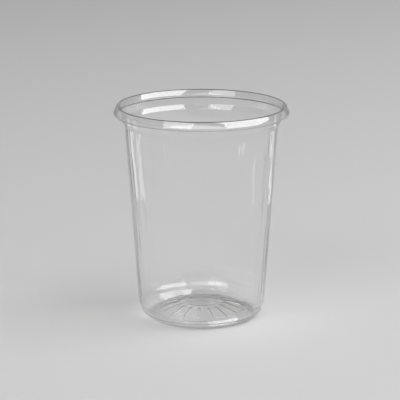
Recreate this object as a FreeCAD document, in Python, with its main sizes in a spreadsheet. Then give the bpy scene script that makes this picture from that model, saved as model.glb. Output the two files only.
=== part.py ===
"""Plastic deli container: a clear, thin-walled cup formed from one heated sheet.

The sheet is drawn into a deep mould, so one even thickness runs through the ribbed base panel, the
foot, the bevelled heel, the tapered wall, the ledge and the collar, and out over the mouth, where
it is turned down into a rim that a press-fit lid grips. Millimetres, +Z up, origin under the middle
of the foot.
"""
import FreeCAD, Part
import os
import re
import Sketcher

NODE = "container_body"

# Driving sizes. Radii and heights are taken on the food side of the sheet, which is the face seen
# from inside the cup and, past the mouth, on the outside of the turned-down rim.
SIZES = {
    "sheet_thickness": 0.4,
    "overall_height": 144.2,
    # rim: a leaning outer side with a short upright band under it, and a lip turned in beneath
    "rim_radius": 58.5,
    "rim_depth": 6.0,
    "skirt_width": 2.1,
    "skirt_height": 4.1,
    "skirt_rounding": 0.8,
    "lip_width": 2.6,
    "lip_rounding": 0.6,
    # narrow flat crown, and the funnel that leads in from it
    "crown_width": 1.4,
    "crown_rounding": 0.9,
    "mouth_width": 1.9,
    "mouth_height": 3.6,
    "mouth_rounding": 1.0,
    # collar, down to the ledge that rests in the mouth of the next cup when they are stacked
    "collar_height": 10.0,
    "collar_lean": 0.5,
    "ledge_width": 1.8,
    "ledge_height": 3.2,
    "ledge_rounding": 0.6,
    # tapered wall
    "wall_taper": 8.5,
    # base: a step in, a short upright run, then the bevelled heel and the foot
    "step_width": 1.5,
    "step_height": 2.5,
    "step_rounding": 0.7,
    "upright_lean": 0.15,
    "upright_height": 2.4,
    "heel_width": 3.95,
    "heel_height": 4.0,
    "heel_rounding": 0.8,
    "foot_width": 3.7,
    "foot_rounding": 0.6,
    # raised base panel: a steep flank, a ribbed cone and a flat middle
    "flank_width": 2.0,
    "flank_height": 2.9,
    "flank_rounding": 0.7,
    "cone_width": 18.0,
    "cone_height": 5.4,
    "panel_rounding": 3.0,
    # hollow ribs that stiffen the cone
    "rib_count": 18,
    "rib_height": 0.7,
    "rib_margin": 0.9,
    "rib_run_out": 2.6,
    "rib_tip": 0.9,
    "hollow_drop": 0.1,
}

doc = FreeCAD.newDocument("deli_container")
sheet = doc.addObject("Spreadsheet::Sheet", "Sizes")
for row, (alias, size) in enumerate(SIZES.items(), start=1):
    sheet.set(f"A{row}", alias)
    sheet.set(f"B{row}", str(size))
    sheet.setAlias(f"B{row}", alias)
doc.recompute()

# A sketch counts the ends of a curve from 1 up, and its own axes from -1 down: the level axis, which
# starts at the origin, and the upright one.
START, END = range(1, 3)
ORIGIN, UPRIGHT_AXIS = range(-1, -3, -1)
FULL_TURN = 360
HALF_TURN = 180

# Stations of the food side as sums of sizes: radii from the rim inwards, then heights.
CROWN_OUTSIDE = "rim_radius - skirt_width"
CROWN_INSIDE = CROWN_OUTSIDE + " - crown_width"
MOUTH = CROWN_INSIDE + " - mouth_width"
COLLAR = MOUTH + " - collar_lean"
WALL_TOP = COLLAR + " - ledge_width"
WALL_FOOT = WALL_TOP + " - wall_taper"
UPRIGHT = WALL_FOOT + " - step_width"
HEEL = UPRIGHT + " - upright_lean"
FOOT_OUTSIDE = HEEL + " - heel_width"
FOOT_INSIDE = FOOT_OUTSIDE + " - foot_width"
FLANK_TOP = FOOT_INSIDE + " - flank_width"
PANEL = FLANK_TOP + " - cone_width"
CONE_FOOT = "sheet_thickness + flank_height"
CONE_TOP = CONE_FOOT + " + cone_height"
HEEL_TOP = "sheet_thickness + heel_height"
STEP_FOOT = HEEL_TOP + " + upright_height"
STEP_TOP = STEP_FOOT + " + step_height"
LEDGE_TOP = "overall_height - collar_height"
LEDGE_FOOT = LEDGE_TOP + " - ledge_height"
MOUTH_FOOT = "overall_height - mouth_height"
SKIRT_FOOT = "overall_height - skirt_height"
RIM_FOOT = "overall_height - rim_depth"

# Corners of the food side in order from the axis: radius, height and the rounding formed there.
CORNERS = [
    (PANEL, CONE_TOP, "panel_rounding"),
    (FLANK_TOP, CONE_FOOT, "flank_rounding"),
    (FOOT_INSIDE, "sheet_thickness", "foot_rounding"),
    (FOOT_OUTSIDE, "sheet_thickness", "heel_rounding"),
    (HEEL, HEEL_TOP, "heel_rounding"),
    (UPRIGHT, STEP_FOOT, "step_rounding"),
    (WALL_FOOT, STEP_TOP, "step_rounding"),
    (WALL_TOP, LEDGE_FOOT, "ledge_rounding"),
    (COLLAR, LEDGE_TOP, "ledge_rounding"),
    (MOUTH, MOUTH_FOOT, "mouth_rounding"),
    (CROWN_INSIDE, "overall_height", "crown_rounding"),
    (CROWN_OUTSIDE, "overall_height", "crown_rounding"),
    ("rim_radius", SKIRT_FOOT, "skirt_rounding"),
    ("rim_radius", RIM_FOOT, "lip_rounding"),
]
LIP_END = ("rim_radius - lip_width", RIM_FOOT)


def amount(total):
    """Value of a sum of sizes, such as "rim_radius - lip_width"."""
    value = 0.0
    sign = 1
    for word in total.split():
        if word in "+-":
            sign = 1 if word == "+" else -1
        else:
            value += sign * SIZES[word]
    return value


def bound(total):
    """The same sum as an expression on the sheet."""
    return re.sub(r"[a-z_]+", r"Sizes.\g<0>", total)


def hold(sketch, kind, reference, total):
    """Dimension a sketch point or curve, and tie the dimension to the sheet."""
    index = sketch.addConstraint(Sketcher.Constraint(kind, *reference, amount(total)))
    sketch.setExpression(f"Constraints[{index}]", bound(total))


def place_point(sketch, point, radius, height):
    """Tie a sketch point to a radius and a height above the foot."""
    hold(sketch, "DistanceX", (ORIGIN, START, *point), radius)
    hold(sketch, "DistanceY", (ORIGIN, START, *point), height)


def food_side():
    """Half section of the food side of the sheet: straight runs joined by tangent arcs."""
    sketch = doc.addObject("Sketcher::SketchObject", "food_side")
    stand_up = FreeCAD.Rotation(FreeCAD.Vector(1, 0, 0), FULL_TURN / 4)
    sketch.Placement = FreeCAD.Placement(FreeCAD.Vector(), stand_up)
    points = [FreeCAD.Vector(0, amount(CONE_TOP), 0)]
    points += [FreeCAD.Vector(amount(radius), amount(height), 0) for radius, height, _ in CORNERS]
    points += [FreeCAD.Vector(amount(LIP_END[0]), amount(LIP_END[1]), 0)]
    for near, far in zip(points, points[1:]):
        sketch.addGeometry(Part.LineSegment(near, far), False)
    for run in range(len(CORNERS)):
        sketch.addConstraint(Sketcher.Constraint("Coincident", run, END, run + 1, START))

    for run, (radius, height, rounding) in enumerate(CORNERS):
        # rounding a corner adds an arc, then a construction point where the sharp corner was
        sketch.fillet(run, END, amount(rounding), True, True)
        corner = len(sketch.Geometry) - 1
        hold(sketch, "Radius", (corner - 1,), rounding)
        place_point(sketch, (corner, START), radius, height)

    sketch.addConstraint(Sketcher.Constraint("PointOnObject", 0, START, UPRIGHT_AXIS))
    sketch.addConstraint(Sketcher.Constraint("Horizontal", 0))
    place_point(sketch, (len(CORNERS), END), *LIP_END)
    return sketch


def formed_sheet():
    """The sheet before its ribs: the food side thickened outwards and turned round the axis."""
    section = doc.addObject("Part::Offset2D", "sheet_section")
    section.Source = food_side()
    section.setExpression("Value", "-Sizes.sheet_thickness")
    section.Mode = "Skin"
    section.Join = "Intersection"
    section.Fill = True

    turned = doc.addObject("Part::Revolution", "formed_sheet")
    turned.Source = section
    turned.Axis = (0, 0, 1)
    turned.Angle = FULL_TURN
    turned.Solid = True
    return turned


def own_datum(body, role):
    """One of the body's own base planes or axes."""
    return next(datum for datum in body.Origin.OriginFeatures if datum.Role == role)


def rib_side_view(body, name, margin, depth, rise):
    """Side view of half a rib: a long, low trapezium on a chord along the cone.

    The chord lies at a depth under the food side of the cone, and stops short of each end of it by
    the margin. The level top stands over the chord by the rise, and slopes run out to its ends.
    """
    sketch = body.newObject("Sketcher::SketchObject", name)
    sketch.AttachmentSupport = [(own_datum(body, "XZ_Plane"), "")]
    sketch.MapMode = "FlatFace"

    cone_top = FreeCAD.Vector(amount(PANEL), amount(CONE_TOP), 0)
    cone_foot = FreeCAD.Vector(amount(FLANK_TOP), amount(CONE_FOOT), 0)
    along = (cone_foot - cone_top).normalize()
    upward = FreeCAD.Vector(-along.y, along.x, 0)
    inset = along * (amount(margin) / along.x)
    sink = upward * -amount(depth)
    run_out = along * SIZES["rib_run_out"]
    lift = upward * amount(rise)
    inner = cone_top + inset + sink
    outer = cone_foot - inset + sink
    outline = [inner, outer, outer - run_out + lift, inner + run_out + lift]
    chord, outer_slope, top, inner_slope = [
        sketch.addGeometry(Part.LineSegment(near, far), False)
        for near, far in zip(outline, outline[1:] + outline[:1])
    ]
    cone = sketch.addGeometry(Part.LineSegment(cone_top, cone_foot), True)
    spine = sketch.addGeometry(Part.LineSegment(inner + run_out, inner + run_out + lift), True)

    place_point(sketch, (cone, START), PANEL, CONE_TOP)
    place_point(sketch, (cone, END), FLANK_TOP, CONE_FOOT)
    sketch.addConstraint([
        Sketcher.Constraint("Coincident", chord, END, outer_slope, START),
        Sketcher.Constraint("Coincident", outer_slope, END, top, START),
        Sketcher.Constraint("Coincident", top, END, inner_slope, START),
        Sketcher.Constraint("Coincident", inner_slope, END, chord, START),
        Sketcher.Constraint("Parallel", chord, cone),
        Sketcher.Constraint("Parallel", chord, top),
        Sketcher.Constraint("Equal", outer_slope, inner_slope),
        Sketcher.Constraint("PointOnObject", spine, START, chord),
        Sketcher.Constraint("Coincident", spine, END, top, END),
        Sketcher.Constraint("Perpendicular", spine, chord),
    ])
    hold(sketch, "Distance", (chord, START, cone), depth)
    hold(sketch, "DistanceX", (cone, START, chord, START), margin)
    hold(sketch, "DistanceX", (chord, END, cone, END), margin)
    hold(sketch, "Distance", (spine,), rise)
    hold(sketch, "Distance", (spine, START, chord, START), "rib_run_out")
    return sketch


def repeat_round(body, feature, name):
    """Repeat a rib feature round the axis."""
    pattern = body.newObject("PartDesign::PolarPattern", name)
    pattern.Originals = [feature]
    pattern.Axis = (own_datum(body, "Z_Axis"), [""])
    pattern.Angle = FULL_TURN
    pattern.setExpression("Occurrences", "Sizes.rib_count")
    body.Tip = pattern
    doc.recompute()


def container():
    """The whole cup: the formed sheet with its ribs raised on top and hollowed from beneath."""
    turned = formed_sheet()
    body = doc.addObject("PartDesign::Body", NODE)
    body.Label = NODE
    body.Placement = FreeCAD.Placement()
    body.BaseFeature = turned
    doc.recompute()

    # The chord is the first edge of each side view, and each rib is turned about it. The hollow's
    # chord lies a little under the sheet, so that the hollow opens clean through the underside.
    crest = ("rib_margin", "sheet_thickness", "rib_height + sheet_thickness")
    side = rib_side_view(body, "rib_side", *crest)
    rib = body.newObject("PartDesign::Revolution", "rib")
    rib.Profile = side
    rib.ReferenceAxis = (side, ["Edge1"])
    rib.Midplane = True
    rib.Angle = HALF_TURN
    doc.recompute()
    repeat_round(body, rib, "ribs")

    cut = ("rib_margin + rib_tip", "sheet_thickness + hollow_drop", "rib_height + hollow_drop")
    side = rib_side_view(body, "hollow_side", *cut)
    hollow = body.newObject("PartDesign::Groove", "rib_hollow")
    hollow.Profile = side
    hollow.ReferenceAxis = (side, ["Edge1"])
    hollow.Midplane = True
    hollow.Angle = HALF_TURN
    doc.recompute()
    repeat_round(body, hollow, "rib_hollows")
    return body


body = container()
doc.recompute()

failed = [item.Name for item in doc.Objects if {"Invalid", "Error"} & set(item.State)]
if failed:
    raise RuntimeError("these did not build: " + ", ".join(failed))
if body.Shape.isNull() or not body.Shape.isValid() or len(body.Shape.Solids) != 1:
    raise RuntimeError("the container is not one sound solid")

# ribs must add sheet and hollows must take it away, or they point the wrong way
volumes = [doc.getObject(name).Shape.Volume for name in ("formed_sheet", "ribs", "rib_hollows")]
plain, ribbed, hollowed = volumes
if not plain < hollowed < ribbed:
    raise RuntimeError("the ribs or their hollows point the wrong way")

os.makedirs("parts", exist_ok=True)
body.Shape.exportStep(f"parts/{body.Label}.step")
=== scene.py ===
"""Clear plastic deli container on a pale studio floor, in metres, +Z up.

The cup is one thin sheet of clear plastic. It is drawn here with both of its faces, so that light
bends through it and glances off it as it does on the real one.
"""
import math

import bmesh
import bpy
from mathutils import Euler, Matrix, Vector


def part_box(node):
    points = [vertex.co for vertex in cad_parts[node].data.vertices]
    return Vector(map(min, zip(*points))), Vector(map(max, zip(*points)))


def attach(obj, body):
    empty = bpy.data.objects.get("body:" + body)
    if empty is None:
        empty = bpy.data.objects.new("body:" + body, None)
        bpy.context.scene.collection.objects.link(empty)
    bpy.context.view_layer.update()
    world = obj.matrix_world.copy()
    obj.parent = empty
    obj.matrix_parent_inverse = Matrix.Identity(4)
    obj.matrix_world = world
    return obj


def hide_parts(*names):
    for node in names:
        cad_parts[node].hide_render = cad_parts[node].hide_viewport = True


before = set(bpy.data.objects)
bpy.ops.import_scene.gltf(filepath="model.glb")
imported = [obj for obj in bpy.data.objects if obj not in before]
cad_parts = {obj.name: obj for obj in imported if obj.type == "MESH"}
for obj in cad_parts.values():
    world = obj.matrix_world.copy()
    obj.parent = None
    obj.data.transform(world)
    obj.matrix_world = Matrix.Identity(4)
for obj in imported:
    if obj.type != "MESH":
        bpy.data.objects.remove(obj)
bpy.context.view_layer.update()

# ----------------------------------------------------------------------------------------------
# The container. One sheet of clear PET, 0.4 mm thick, is heated and drawn by vacuum into a deep
# mould, so a single even wall makes the ribbed base panel, foot, bevelled heel, tapered side,
# ledge and collar. Past the mouth it is turned down into a rim for the lid to grip.
# ----------------------------------------------------------------------------------------------
MM = 0.001
high_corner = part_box("container_body")[1]
rim_radius = high_corner[0]
overall_height = high_corner[2]
sheet_thickness = 0.4 * MM

# how far each part of the section reaches inwards, from the rim to the middle of the base
skirt_width = 2.1 * MM
lip_width = 2.6 * MM
crown_width = 1.4 * MM
mouth_width = 1.9 * MM
collar_lean = 0.5 * MM
ledge_width = 1.8 * MM
wall_taper = 8.5 * MM
step_width = 1.5 * MM
upright_lean = 0.15 * MM
heel_width = 3.95 * MM
foot_width = 3.7 * MM
flank_width = 2.0 * MM
cone_width = 18.0 * MM

# how tall each part is: the base from the foot up, then the collar, ledge, mouth and rim, of which
# all but the ledge are measured down from the very top
flank_height = 2.9 * MM
cone_height = 5.4 * MM
heel_height = 4.0 * MM
upright_height = 2.4 * MM
step_height = 2.5 * MM
collar_height = 10.0 * MM
ledge_height = 3.2 * MM
mouth_height = 3.6 * MM
skirt_height = 4.1 * MM
rim_depth = 6.0 * MM

# roundings between one part and the next
panel_rounding = 3.0 * MM
flank_rounding = 0.7 * MM
foot_rounding = 0.6 * MM
heel_rounding = 0.8 * MM
step_rounding = 0.7 * MM
ledge_rounding = 0.6 * MM
mouth_rounding = 1.0 * MM
crown_rounding = 0.9 * MM
skirt_rounding = 0.8 * MM
lip_rounding = 0.6 * MM

# radii of the food side, from the rim inwards
crown_outside = rim_radius - skirt_width
crown_inside = crown_outside - crown_width
mouth = crown_inside - mouth_width
collar = mouth - collar_lean
wall_top = collar - ledge_width
wall_foot = wall_top - wall_taper
upright = wall_foot - step_width
heel = upright - upright_lean
foot_outside = heel - heel_width
foot_inside = foot_outside - foot_width
flank_top = foot_inside - flank_width
panel = flank_top - cone_width
lip_end = rim_radius - lip_width

# heights of the food side, from the foot up
cone_foot = sheet_thickness + flank_height
cone_top = cone_foot + cone_height
heel_top = sheet_thickness + heel_height
step_foot = heel_top + upright_height
step_top = step_foot + step_height
ledge_top = overall_height - collar_height
ledge_foot = ledge_top - ledge_height
mouth_foot = overall_height - mouth_height
skirt_foot = overall_height - skirt_height
rim_foot = overall_height - rim_depth

# corners of the food side from the axis outwards: radius, height, rounding, and the number of
# rows of faces in the straight run that leads up to the corner
corners = [
    (panel, cone_top, panel_rounding, 2),
    (flank_top, cone_foot, flank_rounding, 22),
    (foot_inside, sheet_thickness, foot_rounding, 2),
    (foot_outside, sheet_thickness, heel_rounding, 1),
    (heel, heel_top, heel_rounding, 2),
    (upright, step_foot, step_rounding, 1),
    (wall_foot, step_top, step_rounding, 1),
    (wall_top, ledge_foot, ledge_rounding, 16),
    (collar, ledge_top, ledge_rounding, 1),
    (mouth, mouth_foot, mouth_rounding, 1),
    (crown_inside, overall_height, crown_rounding, 2),
    (crown_outside, overall_height, crown_rounding, 1),
    (rim_radius, skirt_foot, skirt_rounding, 2),
    (rim_radius, rim_foot, lip_rounding, 1),
]
lip_rows = 2
rounding_step = math.radians(9)
fewest_steps = 3


def sheet_run():
    """Points along the food side from the axis to the lip, each with the way the sheet faces."""
    stations = [(0.0, cone_top)] + [corner[:2] for corner in corners] + [(lip_end, rim_foot)]
    ways = []
    for (near_r, near_z), (far_r, far_z) in zip(stations, stations[1:]):
        ways.append(Vector((far_r - near_r, far_z - near_z)).normalized())

    run = [(Vector((0.0, cone_top)), Vector((0.0, 1.0)))]

    def straight(end, facing, rows):
        start = run[-1][0].copy()
        for row in range(1, rows + 1):
            run.append((start.lerp(end, row / rows), facing))

    for number, (radius, height, rounding, rows) in enumerate(corners):
        way_in, way_out = ways[number], ways[number + 1]
        turn = -way_in.angle_signed(way_out)
        reach = rounding * math.tan(abs(turn) / 2)
        facing = Vector((-way_in.y, way_in.x))
        begins = Vector((radius, height)) - way_in * reach
        straight(begins, facing, rows)
        side = math.copysign(1.0, turn)
        centre = begins + facing * rounding * side
        steps = max(fewest_steps, round(abs(turn) / rounding_step))
        for step in range(1, steps + 1):
            angle = turn * step / steps
            turned = Vector((
                facing.x * math.cos(angle) - facing.y * math.sin(angle),
                facing.x * math.sin(angle) + facing.y * math.cos(angle),
            ))
            run.append((centre - turned * rounding * side, turned))
    straight(Vector((lip_end, rim_foot)), Vector((-ways[-1].y, ways[-1].x)), lip_rows)
    return run


# Eighteen hollow ribs stiffen the cone of the base panel. Each is a half-round bead with tapered
# ends, and its hollow is the same bead, one sheet smaller, pressed up from beneath.
rib_count = 18
rib_pitch = 2 * math.pi / rib_count
rib_margin = 0.9 * MM
rib_height = 0.7 * MM
rib_run_out = 2.6 * MM
rib_tip = 0.9 * MM
rib_sink = 0.1 * MM
rib_softness = 0.08 * MM
cone_slope = math.atan2(cone_top - cone_foot, flank_top - panel)


def rib_rise(radius, angle, margin, bead, sink):
    """How far one face of the sheet is lifted by the nearest rib."""
    from_rib = (angle + rib_pitch / 2) % rib_pitch - rib_pitch / 2
    across = radius * math.sin(from_rib)
    from_end = min(radius - panel, flank_top - radius) - margin
    along = from_end / math.cos(cone_slope)
    round_here = bead * min(max(along / rib_run_out, 0.0), 1.0)
    lift = math.sqrt(max(round_here**2 - across**2, 0.0)) - sink
    return (lift + math.hypot(lift, rib_softness)) / 2


# The drawn wall isn't perfectly true: it wanders in and out by a few hundredths of a millimetre.
# Each wave is a number of lobes round the cup, a twist up the wall in radians, and a depth.
wall_waves = [
    (2, 9.0, 0.05 * MM),
    (5, -14.0, 0.035 * MM),
    (9, 23.0, 0.02 * MM),
    (14, -8.0, 0.01 * MM),
]


def wall_drift(angle, height):
    """How far the wall strays from a true cone, fading out at the heel and at the ledge."""
    share = (height - step_top) / (ledge_foot - step_top)
    if not 0 < share < 1:
        return 0.0
    drift = sum(
        depth * math.sin(lobes * angle + twist * share) for lobes, twist, depth in wall_waves
    )
    return drift * math.sin(math.pi * share) ** 0.5


columns_per_rib = 18
column_crowding = 0.55


def column_angles():
    """Angles round the cup, closer together over the ribs than between them."""
    angles = []
    for rib in range(rib_count):
        for column in range(columns_per_rib):
            share = column / columns_per_rib
            eased = share - column_crowding * math.sin(2 * math.pi * share) / (2 * math.pi)
            angles.append((rib + eased) * rib_pitch)
    return angles


# ribs rise only where the sheet looks up, and the wall drifts only where it looks sideways
looks_up = 0.5
looks_sideways = 0.9
sharp_fold = math.radians(50)


def formed_sheet():
    """The whole container as one closed mesh: food side, cut edge of the lip, and outer side."""
    mesh = bmesh.new()
    angles = column_angles()

    def ring(point, facing, depth, bead_margin, bead, sink):
        place = point - facing * depth
        vertices = []
        for angle in angles:
            shift = Vector((0.0, 0.0))
            if panel < point.x < flank_top and facing.y > looks_up:
                shift = facing * rib_rise(point.x, angle, bead_margin, bead, sink)
            radius = place.x + shift.x
            if abs(facing.x) > looks_sideways:
                radius += wall_drift(angle, point.y)
            spot = (radius * math.cos(angle), radius * math.sin(angle), place.y + shift.y)
            vertices.append(mesh.verts.new(spot))
        return vertices

    run = sheet_run()
    crest = (rib_margin, rib_height + sheet_thickness, sheet_thickness)
    hollow = (rib_margin + rib_tip, rib_height + rib_sink, rib_sink)
    food_side = [ring(point, facing, 0.0, *crest) for point, facing in run[1:]]
    outer_side = [ring(point, facing, sheet_thickness, *hollow) for point, facing in run[1:]]
    rings = food_side + outer_side[::-1]
    for near, far in zip(rings, rings[1:]):
        for column in range(len(angles)):
            following = (column + 1) % len(angles)
            mesh.faces.new((near[column], near[following], far[following], far[column]))
    for ends, height in ((food_side[0], cone_top), (outer_side[0], cone_top - sheet_thickness)):
        middle = mesh.verts.new((0.0, 0.0, height))
        for column in range(len(angles)):
            following = (column + 1) % len(angles)
            mesh.faces.new((middle, ends[following], ends[column]))
    bmesh.ops.recalc_face_normals(mesh, faces=mesh.faces)

    data = bpy.data.meshes.new("formed_sheet")
    mesh.to_mesh(data)
    mesh.free()
    data.shade_smooth()
    data.set_sharp_from_angle(angle=sharp_fold)
    return data


def grey(level):
    """A plain grey, from 0 for black to 1 for white."""
    return (level, level, level, 1.0)


def clear_pet():
    """Clear PET: glass-bright and colourless, with the faint waves and haze of drawn sheet."""
    material = bpy.data.materials.new("clear_pet")
    material.use_nodes = True
    nodes = material.node_tree.nodes
    links = material.node_tree.links
    plastic = nodes["Principled BSDF"]
    output = nodes["Material Output"]
    plastic.inputs["Transmission Weight"].default_value = 1.0
    plastic.inputs["IOR"].default_value = 1.57
    plastic.inputs["Base Color"].default_value = grey(0.98)

    place = nodes.new("ShaderNodeTexCoord")

    # draw lines: the sheet stretched upwards as it went into the mould, so its waves run upright
    stretch = nodes.new("ShaderNodeMapping")
    stretch.inputs["Scale"].default_value = (1.0, 1.0, 0.05)
    draw_lines = nodes.new("ShaderNodeTexNoise")
    draw_lines.inputs["Scale"].default_value = 170.0
    draw_lines.inputs["Detail"].default_value = 2.0
    draw_lines.inputs["Roughness"].default_value = 0.45
    links.new(place.outputs["Object"], stretch.inputs["Vector"])
    links.new(stretch.outputs["Vector"], draw_lines.inputs["Vector"])

    # orange peel: a much finer unevenness left by the face of the mould
    peel = nodes.new("ShaderNodeTexNoise")
    peel.inputs["Scale"].default_value = 900.0
    peel.inputs["Detail"].default_value = 1.0
    links.new(place.outputs["Object"], peel.inputs["Vector"])

    # The side was drawn furthest and has the deepest waves, and the base and the rim are truer.
    # Each pair is a share of the height, and the share of the full depth that the waves have there.
    at_base, at_rim = (0.05, 0.25), (0.93, 0.15)
    up_the_side = ((0.16, 0.6), (0.6, 0.9), (0.89, 1.0))
    split = nodes.new("ShaderNodeSeparateXYZ")
    height = nodes.new("ShaderNodeMapRange")
    height.inputs["From Max"].default_value = overall_height
    depth = nodes.new("ShaderNodeValToRGB")
    for element, (share, level) in zip(depth.color_ramp.elements, (at_base, at_rim)):
        element.position = share
        element.color = grey(level)
    for share, level in up_the_side:
        depth.color_ramp.elements.new(share).color = grey(level)
    links.new(place.outputs["Object"], split.inputs["Vector"])
    links.new(split.outputs["Z"], height.inputs["Value"])
    links.new(height.outputs["Result"], depth.inputs["Fac"])

    waves = nodes.new("ShaderNodeBump")
    waves.inputs["Distance"].default_value = 0.0006
    links.new(depth.outputs["Color"], waves.inputs["Strength"])
    links.new(draw_lines.outputs["Fac"], waves.inputs["Height"])
    fine = nodes.new("ShaderNodeBump")
    fine.inputs["Strength"].default_value = 0.10
    fine.inputs["Distance"].default_value = 0.00003
    links.new(peel.outputs["Fac"], fine.inputs["Height"])
    links.new(waves.outputs["Normal"], fine.inputs["Normal"])
    links.new(fine.outputs["Normal"], plastic.inputs["Normal"])

    # haze: the polish varies a little from place to place
    polish = nodes.new("ShaderNodeMapRange")
    polish.inputs["From Min"].default_value = 0.3
    polish.inputs["From Max"].default_value = 0.7
    polish.inputs["To Min"].default_value = 0.015
    polish.inputs["To Max"].default_value = 0.05
    links.new(draw_lines.outputs["Fac"], polish.inputs["Value"])
    links.new(polish.outputs["Result"], plastic.inputs["Roughness"])

    # lamps shine through the sheet, less so where they meet it at a glancing angle
    glance = nodes.new("ShaderNodeLayerWeight")
    glance.inputs["Blend"].default_value = 0.5
    passed = nodes.new("ShaderNodeMapRange")
    passed.inputs["To Min"].default_value = 0.95
    passed.inputs["To Max"].default_value = 0.45
    see_through = nodes.new("ShaderNodeBsdfTransparent")
    ray = nodes.new("ShaderNodeLightPath")
    shade = nodes.new("ShaderNodeMixShader")
    links.new(glance.outputs["Facing"], passed.inputs["Value"])
    links.new(passed.outputs["Result"], see_through.inputs["Color"])
    links.new(ray.outputs["Is Shadow Ray"], shade.inputs["Fac"])
    links.new(plastic.outputs["BSDF"], shade.inputs[1])
    links.new(see_through.outputs["BSDF"], shade.inputs[2])
    links.new(shade.outputs["Shader"], output.inputs["Surface"])
    return material


container = bpy.data.objects.new("container", formed_sheet())
bpy.context.scene.collection.objects.link(container)
container.data.materials.append(clear_pet())
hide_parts("container_body")
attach(container, "root")

# ----------------------------------------------------------------------------------------------
# The floor. A wide sheet of pale grey matt board, laid flat for the container to stand on. It
# lies a hair below the foot, so that the two faces never share one plane.
# ----------------------------------------------------------------------------------------------
floor_reach = 6.0
floor_gap = 0.05 * MM


def pale_board():
    """Plain matt board, a little rough, that keeps the container's shadow."""
    material = bpy.data.materials.new("pale_board")
    material.use_nodes = True
    board = material.node_tree.nodes["Principled BSDF"]
    board.inputs["Base Color"].default_value = grey(0.55)
    board.inputs["Roughness"].default_value = 0.9
    board.inputs["Specular IOR Level"].default_value = 0.1
    return material


floor_mesh = bmesh.new()
bmesh.ops.create_grid(floor_mesh, x_segments=1, y_segments=1, size=floor_reach)
floor_data = bpy.data.meshes.new("floor")
floor_mesh.to_mesh(floor_data)
floor_mesh.free()
floor = bpy.data.objects.new("floor", floor_data)
floor.location.z = -floor_gap
floor.data.materials.append(pale_board())
bpy.context.scene.collection.objects.link(floor)

# ----------------------------------------------------------------------------------------------
# The studio light. A large softbox stands high on the right, a smaller one on the left and a wide,
# shallow one in front. Strip lights lie on the floor around the container to draw its edges and
# the streaks down its side, and the dim room adds a little light of its own.
# ----------------------------------------------------------------------------------------------
view_turn = math.radians(-5.3)
lamp_distance = 4.0
strip_lift = 1.0 * MM


def direction(turn, rise):
    """Unit vector at a turn to the right of the viewer's side and a rise above the floor."""
    turn = math.radians(turn) + view_turn
    rise = math.radians(rise)
    return Vector((
        math.cos(rise) * math.sin(turn),
        -math.cos(rise) * math.cos(turn),
        math.sin(rise),
    ))


def light_panel(name, width, height, brightness):
    """A flat light, hidden from the camera, whose face looks just white at a brightness of 1."""
    lamp = bpy.data.lights.new(name, "AREA")
    lamp.shape = "RECTANGLE"
    lamp.size = width
    lamp.size_y = height
    lamp.energy = brightness * math.pi * lamp.size * lamp.size_y
    lit_panel = bpy.data.objects.new(name, lamp)
    lit_panel.visible_camera = False
    bpy.context.scene.collection.objects.link(lit_panel)
    return lit_panel


def softbox(name, turns, rises, brightness):
    """A softbox that fills a stretch of turns and rises, seen from the container, in degrees."""
    turn = sum(turns) / 2
    rise = sum(rises) / 2
    half_turn = math.radians(turns[1] - turns[0]) / 2
    half_rise = math.radians(rises[1] - rises[0]) / 2
    width = 2 * lamp_distance * math.cos(math.radians(rise)) * math.tan(half_turn)
    height = 2 * lamp_distance * math.tan(half_rise)
    box = light_panel(name, width, height, brightness)
    away = direction(turn, rise)
    box.location = away * lamp_distance + Vector((0.0, 0.0, overall_height / 2))
    box.rotation_euler = away.to_track_quat("Z", "Y").to_euler()


def strip_light(name, near, far, width, brightness):
    """A slim light on the floor, facing up; each end is a turn in degrees and a reach in metres."""
    ends = [direction(turn, 0) * reach for turn, reach in (near, far)]
    run = ends[1] - ends[0]
    strip = light_panel(name, width, run.length, brightness)
    strip.location = (ends[0] + ends[1]) / 2 + Vector((0.0, 0.0, strip_lift))
    strip.rotation_euler = Euler((math.pi, 0.0, math.atan2(run.x, -run.y)))
    strip.visible_transmission = False


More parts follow.
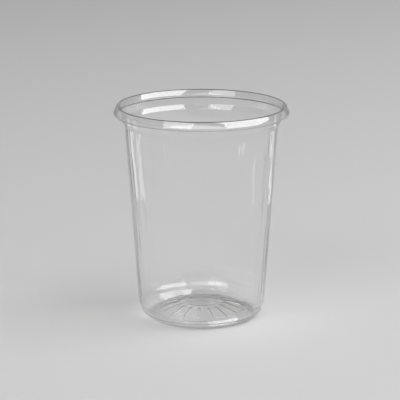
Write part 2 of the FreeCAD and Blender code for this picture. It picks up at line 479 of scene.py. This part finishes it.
softbox("right_softbox", (33, 113), (26, 72), 4.2)
softbox("left_softbox", (-55, -15), (23, 49), 2.1)
softbox("front_softbox", (-55, 45), (26, 44.2), 2.3)
strip_light("left_edge_strip", (-116, 0.29), (-128, 0.50), 0.05, 1.5)
strip_light("left_side_strip", (-98, 0.28), (-109, 0.46), 0.04, 1.5)
strip_light("left_front_strip", (-50, 0.35), (-50, 0.50), 0.04, 0.8)
strip_light("right_front_strip", (57, 0.385), (67, 0.56), 0.07, 2.0)
strip_light("right_side_strip", (86, 0.265), (83, 0.38), 0.03, 1.2)
strip_light("right_edge_strip", (138, 0.29), (128, 0.50), 0.05, 1.5)


def grey_room():
    """A dim grey room whose walls are brighter than its ceiling."""
    room = bpy.data.worlds.new("room")
    room.use_nodes = True
    nodes = room.node_tree.nodes
    links = room.node_tree.links
    look = nodes.new("ShaderNodeTexCoord")
    look_parts = nodes.new("ShaderNodeSeparateXYZ")
    light = nodes.new("ShaderNodeValToRGB")
    walls, ceiling = light.color_ramp.elements
    walls.position = 0.15
    walls.color = grey(0.3)
    ceiling.position = 0.5
    ceiling.color = grey(0.1)
    links.new(look.outputs["Generated"], look_parts.inputs["Vector"])
    links.new(look_parts.outputs["Z"], light.inputs["Fac"])
    links.new(light.outputs["Color"], nodes["Background"].inputs["Color"])
    return room


bpy.context.scene.world = grey_room()

# ----------------------------------------------------------------------------------------------
# The camera. A long lens, a little over a metre away, looks slightly down on the container from
# in front. Light is followed through enough bounces to cross every wall of the clear cup.
# ----------------------------------------------------------------------------------------------
view_rise = 14.44
view_distance = 1.3074
look_at = Vector((0.0, 0.0, 0.07338))

camera_data = bpy.data.cameras.new("camera")
camera_data.sensor_width = 36.0
camera_data.lens = 174.65
camera_data.shift_x = -0.0038
camera_data.shift_y = 0.02
camera_data.clip_start = 0.05
camera = bpy.data.objects.new("camera", camera_data)
camera.location = look_at + direction(0, view_rise) * view_distance
camera.rotation_euler = (camera.location - look_at).to_track_quat("Z", "Y").to_euler()
bpy.context.scene.collection.objects.link(camera)
bpy.context.scene.camera = camera
bpy.context.scene.view_settings.view_transform = "Standard"
bpy.context.scene.cycles.max_bounces = 24
bpy.context.scene.cycles.transmission_bounces = 24
bpy.context.scene.cycles.transparent_max_bounces = 32
